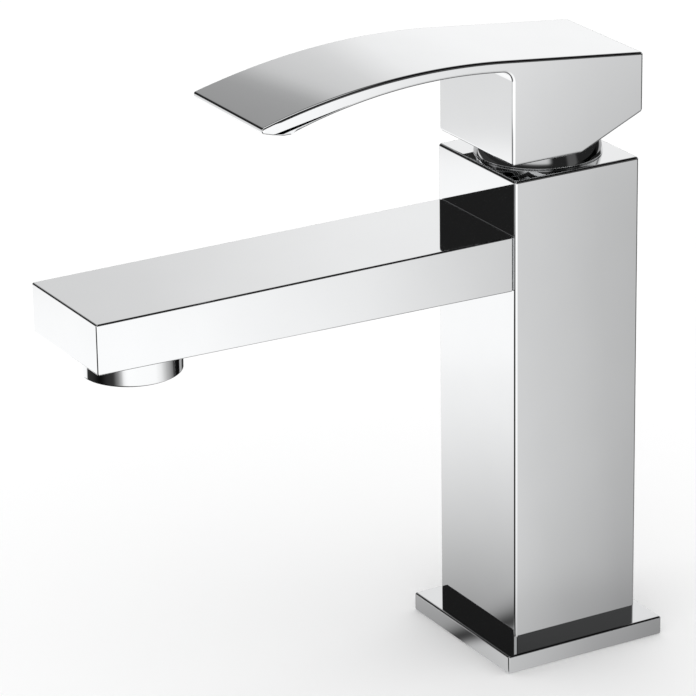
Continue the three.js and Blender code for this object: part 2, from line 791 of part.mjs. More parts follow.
// Block and blade are one casting. The top is flat at the back and runs into a long arc; the
// blade's underside is an arc of its own, with a fillet where it meets the block and a thin nose.
function handleShape() {
  const topArcZ = handleRearTopZ + (handleRearY - topArcY) * Math.tan(topSlope);
  const topCentreY = topArcY - topArcR * Math.sin(topSlope);
  const topCentreZ = topArcZ - topArcR * Math.cos(topSlope);
  const tipAngle = Math.PI / 2 + Math.asin((topCentreY - tipY) / topArcR);
  const tipTopZ = topCentreZ + topArcR * Math.sin(tipAngle);

  const underCentreZ = underApexZ - underArcR;
  const noseAngle = Math.PI / 2 + Math.asin((underApexY - noseY) / underArcR);
  const filletY = handleFrontY - underFilletR;
  const filletReach = underArcR - underFilletR;
  const filletAngle = Math.acos((filletY - underApexY) / filletReach);
  const filletZ = underCentreZ + filletReach * Math.sin(filletAngle);

  const shape = new THREE.Shape();
  shape.moveTo(handleFrontY, handleBottomZ);
  shape.lineTo(heelY, handleBottomZ);
  shape.lineTo(handleRearY, heelRearZ);
  shape.lineTo(handleRearY, handleRearTopZ);
  shape.absarc(topCentreY, topCentreZ, topArcR, Math.PI / 2 - topSlope, tipAngle, false);
  shape.lineTo(tipY, tipTopZ - tipFaceHeight);
  shape.absarc(underApexY, underCentreZ, underArcR, noseAngle, filletAngle, true);
  shape.absarc(filletY, filletZ, underFilletR, filletAngle, 0, true);
  shape.lineTo(handleFrontY, handleBottomZ);
  return shape;
}

function handle() {
  let body = slab(handleShape(), handleWidth);
  const hollow = new THREE.SphereGeometry(socketR, largeSides, sphereRings);
  hollow.rotateX(Math.PI / 2);
  hollow.translate(0, 0, pivotZ);
  body = body.subtract(solid(hollow));
  body = body.subtract(squareBar(stemHeadSide + 2 * gap, pivotZ, stemTopZ + gap));
  body = body.subtract(rodAlongY(grubR + gap, 0, handleRearY + through, 0, grubZ));
  body = body.subtract(rodAlongY(
    plugR + gap, handleRearY - plugHeight - gap, handleRearY + through, 0, grubZ,
  ));
  return piece('handle', body, materials.chrome);
}

function grubScrew() {
  const frontY = stemHeadSide / 2 + gap;
  const rearY = frontY + grubLength;
  const body = rodAlongY(grubR, frontY, rearY, 0, grubZ);
  const hex = rodAlongY(grubHexFlats / Math.sqrt(3), rearY - grubHexDepth, rearY + through, 0, grubZ, 6);
  return piece('grub_screw', body.subtract(hex), materials.steel);
}

function indexPlug() {
  const body = rodAlongY(plugR, handleRearY - plugHeight, handleRearY, 0, grubZ);
  return piece('index_plug', body, materials.indexPlastic);
}

// ---------------------------------------------------------------- assembly

function group(...members) {
  const result = new THREE.Group();
  result.add(...members);
  return result;
}

const base = group(basePlate(), baseGasket(), baseFoot());
const column = group(columnBody(), riser('hot_riser', -1), riser('cold_riser', 1));
const spout = group(
  spoutBody(), spoutTube(), outletBoss(),
  aeratorHousing(), aeratorScreen(), aeratorInsert(), aeratorWasher(),
);
const cartridge = group(
  cartridgeBase(),
  portSeal('hot_port_seal', ports.hot),
  portSeal('cold_port_seal', ports.cold),
  portSeal('outlet_port_seal', ports.outlet),
  discGasket(), fixedDisc(), movingDisc(), discCarrier(),
  cartridgeHousing(), turnSleeve(), pivotPin(), hotLimitRing(),
);
const cover = group(retainingNut(), domeClipRing(), domeCover());
const lever = group(stem(), handle(), grubScrew(), indexPlug());

export default group(base, column, spout, cartridge, cover, lever);
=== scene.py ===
from math import asin, cos, hypot, pi, radians, sin, tan

import bmesh
import bpy
from mathutils import Matrix, Vector


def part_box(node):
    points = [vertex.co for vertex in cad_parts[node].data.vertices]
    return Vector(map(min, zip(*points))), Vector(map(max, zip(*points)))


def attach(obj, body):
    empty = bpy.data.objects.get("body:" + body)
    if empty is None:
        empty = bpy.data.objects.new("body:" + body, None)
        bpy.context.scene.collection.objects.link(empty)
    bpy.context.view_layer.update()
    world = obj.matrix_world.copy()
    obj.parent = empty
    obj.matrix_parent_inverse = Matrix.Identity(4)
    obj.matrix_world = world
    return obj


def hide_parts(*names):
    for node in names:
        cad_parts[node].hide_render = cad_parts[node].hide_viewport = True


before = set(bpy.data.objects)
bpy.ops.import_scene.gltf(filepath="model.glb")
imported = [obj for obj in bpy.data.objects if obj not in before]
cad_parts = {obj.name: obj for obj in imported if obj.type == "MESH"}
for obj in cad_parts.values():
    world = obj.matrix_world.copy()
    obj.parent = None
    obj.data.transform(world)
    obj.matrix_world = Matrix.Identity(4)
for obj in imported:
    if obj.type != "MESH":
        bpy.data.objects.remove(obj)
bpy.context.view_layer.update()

# ------------------------------------------------------------------------------- base plate
# Square flange that covers the tap hole, machined from brass bar and chrome plated.
# It rests on the deck, bored through for the foot and grooved underneath for the gasket.

mm = 0.001
hair = 0.15 * mm                 # joint line left round a piece that sits in another
plate_edge = 0.6 * mm            # rounding of the plate's polished edges
foot_radius = 18 * mm
weld = 0.001 * mm                # points closer than this are one point
turning_steps = 96               # facets round a turned piece
flatness = 90                    # how far a large face decides the shading at its edges


def select_only(*objects):
    """Out of edit mode, with these objects selected and the last of them active."""
    if bpy.context.object and bpy.context.object.mode != "OBJECT":
        bpy.ops.object.mode_set(mode="OBJECT")
    bpy.ops.object.select_all(action="DESELECT")
    for item in objects:
        item.select_set(True)
        bpy.context.view_layer.objects.active = item


def edit(piece, kind):
    """Opens a piece in edit mode with nothing selected, to pick its VERT, EDGE or FACE parts."""
    select_only(piece)
    bpy.ops.object.mode_set(mode="EDIT")
    bpy.ops.mesh.select_mode(type=kind)
    bpy.ops.mesh.select_all(action="DESELECT")


def pick(piece, kind, wanted):
    """Selects the vertices, edges or faces of a piece that pass a test, in edit mode."""
    edit(piece, kind)
    cage = bmesh.from_edit_mesh(piece.data)
    parts = {"VERT": cage.verts, "EDGE": cage.edges, "FACE": cage.faces}[kind]
    for part in parts:
        part.select_set(wanted(part))
    bmesh.update_edit_mesh(piece.data)


def add_block(name, low, high):
    """A block between two corners, its place held in its mesh."""
    select_only()
    low, high = Vector(low), Vector(high)
    bpy.ops.mesh.primitive_cube_add(size=1, location=(low + high) / 2, scale=high - low)
    block = bpy.context.object
    block.name = name
    bpy.ops.object.transform_apply(location=True, rotation=True, scale=True)
    return block


def start_outline(name, point):
    """A new mesh, open in edit mode, that is one selected vertex: the pen at its first point."""
    select_only()
    bpy.ops.mesh.primitive_plane_add(size=mm, location=point)
    outline = bpy.context.object
    outline.name = name
    bpy.ops.object.transform_apply(location=True, rotation=True, scale=True)
    bpy.ops.object.mode_set(mode="EDIT")
    bpy.ops.mesh.select_mode(type="VERT")
    bpy.ops.mesh.select_all(action="SELECT")
    bpy.ops.mesh.merge(type="CENTER")
    return outline


def draw_lines(points):
    """Draws straight lines from the pen through these points, by extruding the last vertex."""
    for here, there in zip(points, points[1:]):
        step = Vector(there) - Vector(here)
        bpy.ops.mesh.extrude_region_move(TRANSFORM_OT_translate={"value": step})


def close_mesh():
    """Merges doubles and points the faces outwards."""
    bpy.ops.mesh.select_all(action="SELECT")
    bpy.ops.mesh.remove_doubles(threshold=weld)
    bpy.ops.mesh.normals_make_consistent(inside=False)
    bpy.ops.object.mode_set(mode="OBJECT")


def turn(name, outline, centre=(0, 0), steps=turning_steps):
    """A turned piece: an outline of (radius, z) points is drawn and spun about a line along Z."""
    points = [(centre[0] + r, centre[1], z) for r, z in [*outline, outline[0]]]
    turned = start_outline(name, points[0])
    draw_lines(points)
    bpy.ops.mesh.select_all(action="SELECT")
    bpy.ops.mesh.remove_doubles(threshold=weld)
    bpy.ops.mesh.select_all(action="SELECT")
    bpy.ops.mesh.spin(steps=steps, angle=2 * pi, center=(*centre, 0), axis=(0, 0, 1))
    close_mesh()
    return turned


def modify(piece, kind, **settings):
    """Changes a piece with a modifier that has these settings, and applies it."""
    select_only(piece)
    bpy.ops.object.modifier_add(type=kind)
    step = piece.modifiers[-1]
    for key, value in settings.items():
        setattr(step, key, value)
    bpy.ops.object.modifier_apply(modifier=step.name)


def carve(body, tool, operation="DIFFERENCE"):
    """Cuts a tool out of a body, or joins it on, and takes the tool away."""
    modify(body, "BOOLEAN", operation=operation, solver="MANIFOLD", object=tool)
    bpy.data.objects.remove(tool)


def round_edges(piece, width, wanted, steps=4):
    """Rounds the edges that pass a test."""
    pick(piece, "EDGE", wanted)
    bpy.ops.mesh.bevel(
        offset=width, offset_type="OFFSET", segments=steps, profile=0.5, affect="EDGES",
    )
    bpy.ops.object.mode_set(mode="OBJECT")


def is_sharp(edge, at_least=radians(12)):
    """True for an edge whose two faces meet at more than an angle."""
    return len(edge.link_faces) == 2 and edge.calc_face_angle() > at_least


def smooth(piece, sharp=radians(38)):
    """Smooth shading across rounded edges that leaves the large faces truly flat."""
    select_only(piece)
    bpy.ops.object.shade_smooth_by_angle(angle=sharp)
    modify(piece, "WEIGHTED_NORMAL", keep_sharp=True, weight=flatness)


def add_node(tree, kind, inputs=None, **settings):
    """A node in a tree, with its settings and what feeds it."""
    node = tree.nodes.new(kind)
    for key, value in settings.items():
        setattr(node, key, value)
    for key, value in (inputs or {}).items():
        if isinstance(value, bpy.types.NodeSocket):
            tree.links.new(value, node.inputs[key])
        else:
            node.inputs[key].default_value = value
    return node


def start_material(name):
    """A new material and its shader, with a function that adds a node and one that links two."""
    material = bpy.data.materials.new(name)
    material.use_nodes = True
    tree = material.node_tree

    def add(kind, inputs=None, **settings):
        return add_node(tree, kind, inputs, **settings)

    return material, tree.nodes["Principled BSDF"], add, tree.links.new


def grain(add, scale, detail=3.0, stretch=(1, 1, 1)):
    """A noise pattern in the piece's own space; scale counts its lumps to a metre."""
    place = add("ShaderNodeTexCoord").outputs["Object"]
    turned = add("ShaderNodeMapping", {"Vector": place, "Scale": stretch}).outputs["Vector"]
    levels = {"Vector": turned, "Scale": scale, "Detail": detail}
    return add("ShaderNodeTexNoise", levels).outputs["Fac"]


def spread(add, value, low, high, floor=0.3, ceiling=0.7):
    """Maps a noise value to a range of its own."""
    levels = {
        "Value": value, "From Min": floor, "From Max": ceiling, "To Min": low, "To Max": high,
    }
    return add("ShaderNodeMapRange", levels).outputs["Result"]


def tint(add, value, dark, light):
    """A colour between two, chosen by a value from 0 to 1."""
    ramp = add("ShaderNodeValToRGB", {"Fac": value})
    ramp.color_ramp.elements[0].color = (*dark, 1)
    ramp.color_ramp.elements[1].color = (*light, 1)
    return ramp.outputs["Color"]


def roughen(add, shader, height, distance, strength=1.0):
    """Relief on the surface from a height pattern, its depth in metres."""
    levels = {"Height": height, "Distance": distance, "Strength": strength}
    bump = add("ShaderNodeBump", levels)
    shader.id_data.links.new(bump.outputs["Normal"], shader.inputs["Normal"])


def chrome_plate():
    """Mirror-polished chrome: a faint cloudiness from wiping and fine polishing haze."""
    material, shader, add, link = start_material("chrome")
    shader.inputs["Metallic"].default_value = 1.0
    cloud = grain(add, 45, 4)
    haze = grain(add, 900, 2)
    both = add("ShaderNodeMath", {0: cloud, 1: haze}, operation="MULTIPLY").outputs["Value"]
    link(tint(add, cloud, (0.60, 0.605, 0.61), (0.635, 0.64, 0.645)), shader.inputs["Base Color"])
    link(spread(add, both, 0.012, 0.045, 0.1, 0.4), shader.inputs["Roughness"])
    roughen(add, shader, haze, 0.0006 * mm, 0.5)
    return material


def give(piece, body, slot, material, *nodes):
    """Hands a finished piece to its body, its finish and the plain nodes that it stands for."""
    piece.data.materials.clear()
    piece.data.materials.append(material)
    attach(piece, body)
    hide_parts(*nodes)


def repaint(material, *nodes):
    """Gives CAD nodes that are kept as they are a finish of their own."""
    for name in nodes:
        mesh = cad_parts[name].data
        mesh.materials.clear()
        mesh.materials.append(material)


chrome = chrome_plate()
plate_low, plate_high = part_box("base_plate")
plate_top = plate_high.z
gasket_low, gasket_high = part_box("base_gasket")
gasket_radius = gasket_high.x
gasket_width = 3.2 * mm

base_plate = add_block("base_plate_polished", plate_low, plate_high)
round_edges(base_plate, plate_edge, is_sharp)
far = 10 * mm                    # how far a cutting tool runs past a face
bore_tool = turn("foot_bore", [
    (0, -far),
    (foot_radius + hair, -far),
    (foot_radius + hair, plate_top + far),
    (0, plate_top + far),
])
carve(base_plate, bore_tool)
groove_tool = turn("gasket_groove", [
    (gasket_radius - gasket_width - hair, -far),
    (gasket_radius + hair, -far),
    (gasket_radius + hair, gasket_high.z + hair),
    (gasket_radius - gasket_width - hair, gasket_high.z + hair),
])
carve(base_plate, groove_tool)
smooth(base_plate)
give(base_plate, "fixed_body", "chrome", chrome, "base_plate")

# ------------------------------------------------------------------------------- base gasket
# Ring of black moulded rubber that seals the plate to the deck, pressed into the plate's groove.
# Its mould leaves a fine matt texture.


def moulded_rubber():
    """Matt black rubber with a fine moulded texture and a little dust in it."""
    material, shader, add, link = start_material("rubber")
    fine = grain(add, 2600, 3)
    patches = grain(add, 120, 3)
    link(tint(add, patches, (0.012, 0.012, 0.013), (0.030, 0.030, 0.031)), shader.inputs["Base Color"])
    link(spread(add, patches, 0.62, 0.82), shader.inputs["Roughness"])
    roughen(add, shader, fine, 0.03 * mm, 0.6)
    return material


rubber = moulded_rubber()
gasket_edge = 0.35 * mm
base_gasket = turn("base_gasket_moulded", [
    (gasket_radius - gasket_width, gasket_low.z),
    (gasket_radius, gasket_low.z),
    (gasket_radius, gasket_high.z),
    (gasket_radius - gasket_width, gasket_high.z),
])
round_edges(base_gasket, gasket_edge, is_sharp)
smooth(base_gasket)
give(base_gasket, "fixed_body", "rubber", rubber, "base_gasket")

# ------------------------------------------------------------------------------- foot
# Brass foot that closes the column's lower end: a round spigot through the plate and a square
# shoulder inside the column, drilled and tapped for two hoses and the fixing stud.


def machined_brass():
    """Turned and milled brass: fine tool rings and slightly darker oxidised patches."""
    material, shader, add, link = start_material("brass")
    shader.inputs["Metallic"].default_value = 1.0
    patches = grain(add, 90, 4)
    rings = grain(add, 700, 2, (1, 1, 6))
    link(tint(add, patches, (0.42, 0.27, 0.085), (0.56, 0.38, 0.14)), shader.inputs["Base Color"])
    link(spread(add, rings, 0.24, 0.40), shader.inputs["Roughness"])
    roughen(add, shader, rings, 0.008 * mm, 0.5)
    return material


brass = machined_brass()
foot_low, foot_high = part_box("base_foot")
inlet_x = 8 * mm
inlet_y = -2 * mm
inlet_radius = 4.7 * mm
inlet_depth = 12 * mm
stud_y = 11 * mm
stud_radius = 3.6 * mm
stud_depth = 15 * mm
riser_radius = 4 * mm
riser_bore = 3 * mm
riser_plug = 5 * mm
thread_pitch = 1.0 * mm
thread_height = 0.35 * mm
foot_edge = 0.6 * mm
small_steps = 40                 # facets round a small hole
spigot_edge = 0.4 * mm


def threaded_hole(radius, depth, centre):
    """A tool that leaves a tapped hole with a countersunk mouth at the deck face."""
    outline = [(0, -far), (radius + thread_height, -far), (radius + thread_height, 0)]
    z = thread_height
    while z < depth - thread_pitch:
        outline += [(radius, z), (radius + thread_height, z + thread_pitch / 2)]
        z += thread_pitch
    outline += [(radius, depth), (0, depth)]
    return turn("tapped_hole", outline, centre, small_steps)


base_foot = add_block(
    "base_foot_machined", (foot_low.x, foot_low.y, plate_top + hair), foot_high,
)
round_edges(base_foot, foot_edge, is_sharp)
spigot_top = plate_top + 2 * hair
spigot = turn("spigot", [(0, 0), (foot_radius, 0), (foot_radius, spigot_top), (0, spigot_top)])
round_edges(spigot, spigot_edge, lambda edge: is_sharp(edge) and edge.verts[0].co.z < hair)
carve(base_foot, spigot, "UNION")
for side in (1, -1):
    inlet = (side * inlet_x, inlet_y)
    carve(base_foot, threaded_hole(inlet_radius, inlet_depth, inlet))
    carve(base_foot, turn("riser_way", [
        (0, inlet_depth - hair),
        (riser_bore, inlet_depth - hair),
        (riser_bore, foot_high.z - riser_plug - hair),
        (riser_radius + hair, foot_high.z - riser_plug - hair),
        (riser_radius + hair, foot_high.z + far),
        (0, foot_high.z + far),
    ], inlet, small_steps))
carve(base_foot, threaded_hole(stud_radius, stud_depth, (0, stud_y)))
smooth(base_foot)
give(base_foot, "fixed_body", "brass", brass, "base_foot")

# ------------------------------------------------------------------------------- column
# Upright square body, cast in brass, milled, polished flat and chrome plated. It stands on the
# plate, is hollow for the risers, and is bored from the top for the cartridge and its nut.

_, column_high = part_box("column_body")
column_half = column_high.x
column_top = column_high.z
column_edge = 0.8 * mm
column_wall = 3 * mm
seat_z = 120.8 * mm
seat_block = 16.8 * mm
cartridge_bore = 14.3 * mm
nut_bore = 16 * mm
nut_bore_depth = 7.5 * mm
port_x = 5.4 * mm
port_y = -2.8 * mm
port_radius = 2.1 * mm
outlet_port_y = 5.2 * mm
spout_low, spout_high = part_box("spout_body")
spout_wall = 2 * mm
tube_low, tube_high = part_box("spout_tube")
tube_z = (tube_low.z + tube_high.z) / 2
tube_radius = tube_high.x


def rod_along_y(name, radius, y0, y1, z, sides=48):
    """A round bar along Y."""
    select_only()
    bpy.ops.mesh.primitive_cylinder_add(
        vertices=sides, radius=radius, depth=y1 - y0,
        location=(0, (y0 + y1) / 2, z), rotation=(pi / 2, 0, 0),
    )
    rod = bpy.context.object
    rod.name = name
    bpy.ops.object.transform_apply(location=True, rotation=True, scale=True)
    return rod


column = add_block(
    "column_polished",
    (-column_half, -column_half, plate_top),
    (column_half, column_half, column_top),
)
round_edges(column, column_edge, lambda edge: max(v.co.z for v in edge.verts) > plate_top + hair)
pick(column, "FACE", lambda face: face.normal.z < -0.9)
bpy.ops.mesh.inset(thickness=column_wall)
cavity_height = seat_z - seat_block - plate_top
bpy.ops.mesh.extrude_region_move(TRANSFORM_OT_translate={"value": (0, 0, cavity_height)})
tenon_half = spout_high.x - spout_wall - hair
tenon_length = 2 * mm
tenon_low_z = spout_low.z + spout_wall + 2 * hair
carve(column, add_block(
    "tenon",
    (-tenon_half, -column_half - tenon_length, tenon_low_z),
    (tenon_half, -column_half + tenon_length, spout_high.z - spout_wall - hair),
), "UNION")
carve(column, turn("cartridge_bore", [
    (0, seat_z),
    (cartridge_bore, seat_z),
    (cartridge_bore, column_top - nut_bore_depth),
    (nut_bore, column_top - nut_bore_depth),
    (nut_bore, column_top + far),
    (0, column_top + far),
]))
for side in (1, -1):
    carve(column, turn("inlet_port", [
        (0, seat_z - seat_block - hair),
        (riser_radius + hair, seat_z - seat_block - hair),
        (riser_radius + hair, seat_z - seat_block + riser_plug + hair),
        (port_radius, seat_z - seat_block + riser_plug + hair),
        (port_radius, seat_z + hair),
        (0, seat_z + hair),
    ], (side * port_x, port_y), small_steps))
carve(column, turn("outlet_port", [
    (0, tube_z), (port_radius, tube_z), (port_radius, seat_z + hair), (0, seat_z + hair),
], (0, outlet_port_y), small_steps))
carve(column, rod_along_y("tube_way", port_radius, -column_half, outlet_port_y, tube_z))
carve(column, rod_along_y(
    "tube_socket", tube_radius + hair, -column_half - far, tube_high.y + hair, tube_z,
))
smooth(column)
give(column, "fixed_body", "chrome", chrome, "column_body")

# ------------------------------------------------------------------------------- water tubes
# Two drawn copper risers are soldered into the foot and the column's head, and a third tube
# carries the mixed water along the spout to the outlet boss.


def drawn_copper():
    """Drawn copper tube: streaks along its length and faint patches of darker and lighter colour."""
    material, shader, add, link = start_material("copper")
    shader.inputs["Metallic"].default_value = 1.0
    patches = grain(add, 60, 4)
    streaks = grain(add, 900, 2, (1, 0.12, 0.12))
    link(tint(add, patches, (0.44, 0.17, 0.085), (0.62, 0.29, 0.16)), shader.inputs["Base Color"])
    link(spread(add, streaks, 0.22, 0.38), shader.inputs["Roughness"])
    roughen(add, shader, streaks, 0.006 * mm, 0.5)
    return material


repaint(drawn_copper(), "hot_riser", "cold_riser", "spout_tube")

# ------------------------------------------------------------------------------- spout
# Long flat box brazed from brass plate, polished and chrome plated. It is a little deeper at
# the column than at the tip, and pushed over the column's tenon before it is brazed.

spout_root_y = -column_half
spout_tip_y = spout_low.y
spout_top = spout_high.z
spout_tip_height = 14 * mm
spout_root_height = 15.8 * mm
spout_half = spout_high.x
spout_edge = 0.5 * mm
squarely = 0.9999                # a face looks straight along an axis above this
boss_low, boss_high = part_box("outlet_boss")
boss_radius = boss_high.x
boss_y = boss_low.y + boss_radius
boss_neck = 12.9 * mm

spout = add_block(
    "spout_polished",
    (-spout_half, spout_tip_y, spout_top - spout_tip_height),
    (spout_half, spout_root_y, spout_top),
)
drop = spout_root_height - spout_tip_height
pick(spout, "VERT", lambda v: v.co.y > spout_root_y - hair and v.co.z < spout_top - hair)
bpy.ops.transform.translate(value=(0, 0, -drop))
round_edges(spout, spout_edge, is_sharp)
pick(spout, "FACE", lambda face: face.normal.y > squarely)
bpy.ops.mesh.inset(thickness=spout_wall - spout_edge)
bore_length = spout_root_y - spout_tip_y - spout_wall
bpy.ops.mesh.extrude_region_move(TRANSFORM_OT_translate={"value": (0, -bore_length, 0)})
inner_tip_y = spout_tip_y + spout_wall
pick(spout, "VERT", lambda v: (
    abs(v.co.y - inner_tip_y) < hair
    and abs(v.co.x) < spout_half - spout_wall + hair
    and spout_top - spout_root_height + hair < v.co.z < spout_top - spout_root_height / 2
))
bpy.ops.transform.translate(value=(0, 0, drop))
carve(spout, turn("boss_hole", [
    (0, boss_low.z),
    (boss_neck + hair, boss_low.z),
    (boss_neck + hair, spout_top - spout_wall - hair),
    (0, spout_top - spout_wall - hair),
], (0, boss_y)))
smooth(spout)
give(spout, "fixed_body", "chrome", chrome, "spout_body")

# ------------------------------------------------------------------------------- outlet boss
# Turned brass boss brazed through the underside of the spout. Its collar shows below the
# spout, chrome plated, with a rounded lower rim, and its bore is threaded for the aerator.

aerator_low, aerator_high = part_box("aerator_housing")
aerator_radius = aerator_high.x
_, washer_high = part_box("aerator_washer")
boss_thread = aerator_radius + hair
collar_top = 112.0 * mm
chamber_radius = 9 * mm
boss_roof = 2 * mm
rim_edge = 0.5 * mm
mouth_radius = 2.2 * mm
fine_steps = 128                 # facets round a turned piece that shows

boss = turn("outlet_boss_turned", [
    (chamber_radius, boss_high.z - boss_roof),
    (chamber_radius, washer_high.z + hair),
    (boss_thread, washer_high.z + hair),
    (boss_thread, boss_low.z),
    (boss_radius, boss_low.z),
    (boss_radius, collar_top),
    (boss_neck, collar_top),
    (boss_neck, boss_high.z),
    (0, boss_high.z),
    (0, boss_high.z - boss_roof),
], (0, boss_y), fine_steps)
round_edges(boss, rim_edge, lambda edge: (
    is_sharp(edge) and max(v.co.z for v in edge.verts) < boss_low.z + hair
))
slope = (spout_root_height - spout_tip_height) / (spout_root_y - spout_tip_y)
pick(boss, "VERT", lambda v: abs(v.co.z - collar_top) < hair)
bpy.ops.transform.translate(value=(0, 0, spout_top - spout_tip_height - collar_top))
cage = bmesh.from_edit_mesh(boss.data)
for vert in cage.verts:
    if vert.select:
        vert.co.z -= slope * (vert.co.y - spout_tip_y)
bmesh.update_edit_mesh(boss.data)
bpy.ops.object.mode_set(mode="OBJECT")
boss_back = boss_y + boss_neck
carve(boss, rod_along_y("tube_mouth", mouth_radius, boss_y, boss_back, tube_z))
carve(boss, rod_along_y(
    "tube_seat", tube_radius + hair, tube_low.y - hair, boss_back + far, tube_z,
))
smooth(boss)
give(boss, "fixed_body", "chrome", chrome, "outlet_boss")

# ------------------------------------------------------------------------------- aerator housing
# Threaded sleeve, turned and chrome plated, that screws up into the boss. Four key slots in
# its lower face take a service key, and an inward lip holds the screen.

housing_wall = 1.4 * mm
lip_width = 1.0 * mm
lip_height = 0.8 * mm
slot_width = 2.4 * mm
slot_depth = 0.5 * mm
housing_edge = 0.25 * mm
housing_inner = aerator_radius - housing_wall

housing = turn("aerator_housing_turned", [
    (housing_inner - lip_width, aerator_low.z),
    (aerator_radius, aerator_low.z),
    (aerator_radius, aerator_high.z),
    (housing_inner, aerator_high.z),
    (housing_inner, aerator_low.z + lip_height),
    (housing_inner - lip_width, aerator_low.z + lip_height),
], (0, boss_y), fine_steps)
round_edges(housing, housing_edge, is_sharp, 3)
for quarter in range(4):
    angle = quarter * pi / 2
    slot_x = aerator_radius * cos(angle)
    slot_y = boss_y + aerator_radius * sin(angle)
    carve(housing, add_block(
        "key_slot",
        (slot_x - slot_width / 2, slot_y - slot_width / 2, aerator_low.z - far),
        (slot_x + slot_width / 2, slot_y + slot_width / 2, aerator_low.z + slot_depth),
    ))
smooth(housing)
give(housing, "fixed_body", "chrome", chrome, "aerator_housing")

# ------------------------------------------------------------------------------- aerator screen
# Disc of stainless steel wire mesh, crimped into a thin rim. It drops into the housing and
# rests on the lip, just above the mouth of the outlet.

screen_low, screen_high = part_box("aerator_screen")
screen_radius = screen_high.x
mesh_cells = 26
wire = 0.22 * mm
screen_rim = 1.1 * mm


def bright_steel():
    """Bright stainless steel with fine drawing lines."""
    material, shader, add, link = start_material("steel")
    shader.inputs["Metallic"].default_value = 1.0
    lines = grain(add, 1500, 2, (0.2, 1, 1))
    link(tint(add, lines, (0.46, 0.47, 0.48), (0.60, 0.61, 0.62)), shader.inputs["Base Color"])
    link(spread(add, lines, 0.20, 0.36), shader.inputs["Roughness"])
    roughen(add, shader, lines, 0.004 * mm, 0.5)
    return material


steel = bright_steel()
screen_z = (screen_low.z + screen_high.z) / 2
select_only()
bpy.ops.mesh.primitive_grid_add(
    x_subdivisions=mesh_cells, y_subdivisions=mesh_cells,
    size=2 * screen_radius, location=(0, boss_y, screen_z),
)
screen = bpy.context.object
screen.name = "aerator_screen_mesh"
bpy.ops.object.transform_apply(location=True, rotation=True, scale=True)
pick(screen, "FACE", lambda face: any(
    hypot(v.co.x, v.co.y - boss_y) > screen_radius - wire for v in face.verts
))
bpy.ops.mesh.delete(type="FACE")
modify(screen, "WIREFRAME", thickness=wire, use_even_offset=True, use_boundary=True)
rim = turn("screen_rim", [
    (screen_radius - screen_rim, screen_low.z),
    (screen_radius, screen_low.z),
    (screen_radius, screen_high.z),
    (screen_radius - screen_rim, screen_high.z),
], (0, boss_y))
select_only(rim, screen)
bpy.ops.object.join()
smooth(screen)
give(screen, "fixed_body", "steel", steel, "aerator_screen")

# ------------------------------------------------------------------------------- plastic parts
# The flow straightener, the cartridge's carrier and sleeve and the dome's clip ring are moulded
# in white acetal, the cartridge's base and housing in grey, and the hot limit ring in red. The
# washer, the port seals and the disc gasket are black rubber.


def moulded_plastic(name, dark, light, roughness):
    """Moulded plastic: faint flow marks, and a fine spark-eroded texture from the mould."""
    material, shader, add, link = start_material(name)
    marks = grain(add, 110, 4)
    fine = grain(add, 3200, 2)
    shader.inputs["Specular IOR Level"].default_value = 0.45
    link(tint(add, marks, dark, light), shader.inputs["Base Color"])
    link(spread(add, fine, roughness - 0.06, roughness + 0.06), shader.inputs["Roughness"])
    roughen(add, shader, fine, 0.012 * mm, 0.5)
    return material


white_plastic = moulded_plastic("white_plastic", (0.74, 0.73, 0.69), (0.84, 0.83, 0.79), 0.42)
grey_plastic = moulded_plastic("grey_plastic", (0.13, 0.14, 0.15), (0.18, 0.19, 0.20), 0.45)
red_plastic = moulded_plastic("red_plastic", (0.40, 0.035, 0.022), (0.50, 0.05, 0.03), 0.42)
repaint(white_plastic, "aerator_insert", "disc_carrier", "turn_sleeve", "dome_clip_ring")
repaint(grey_plastic, "cartridge_base", "cartridge_housing")
repaint(red_plastic, "hot_limit_ring")
repaint(rubber, "aerator_washer", "hot_port_seal", "cold_port_seal", "outlet_port_seal", "disc_gasket")

# ------------------------------------------------------------------------------- ceramic discs
# Two lapped alumina discs: one fixed over the ports, one that slides and turns on it. Their
# faces are ground so flat that they seal against each other. The pin and the grub screw near
# them are steel, the nut and the stem brass.


def lapped_ceramic():
    """White alumina with a satin lapped face and faint specks."""
    material, shader, add, link = start_material("ceramic")
    specks = grain(add, 1800, 4)
    clouds = grain(add, 150, 3)
    link(tint(add, clouds, (0.80, 0.78, 0.72), (0.88, 0.86, 0.81)), shader.inputs["Base Color"])
    link(spread(add, specks, 0.14, 0.30), shader.inputs["Roughness"])
    roughen(add, shader, specks, 0.003 * mm, 0.4)
    return material


repaint(lapped_ceramic(), "fixed_disc", "moving_disc")
repaint(steel, "pivot_pin", "grub_screw")
repaint(brass, "retaining_nut", "stem")

# ------------------------------------------------------------------------------- dome cover
# Round cover spun from brass sheet and chrome plated. It clips over the cartridge nut, and
# the lever's hollow underside turns and tilts over it.

dome_centre_z = 140 * mm
dome_radius = 18 * mm
dome_wall = 1.5 * mm
dome_edge = 0.35 * mm
rim_angle = radians(30)          # only a rim is sharper than this on a rounded piece
_, dome_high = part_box("dome_cover")


def add_ball(name, radius, segments, rings):
    """A ball about the point that the lever tilts round."""
    select_only()
    bpy.ops.mesh.primitive_uv_sphere_add(
        segments=segments, ring_count=rings, radius=radius, location=(0, 0, dome_centre_z),
    )
    ball = bpy.context.object
    ball.name = name
    return ball


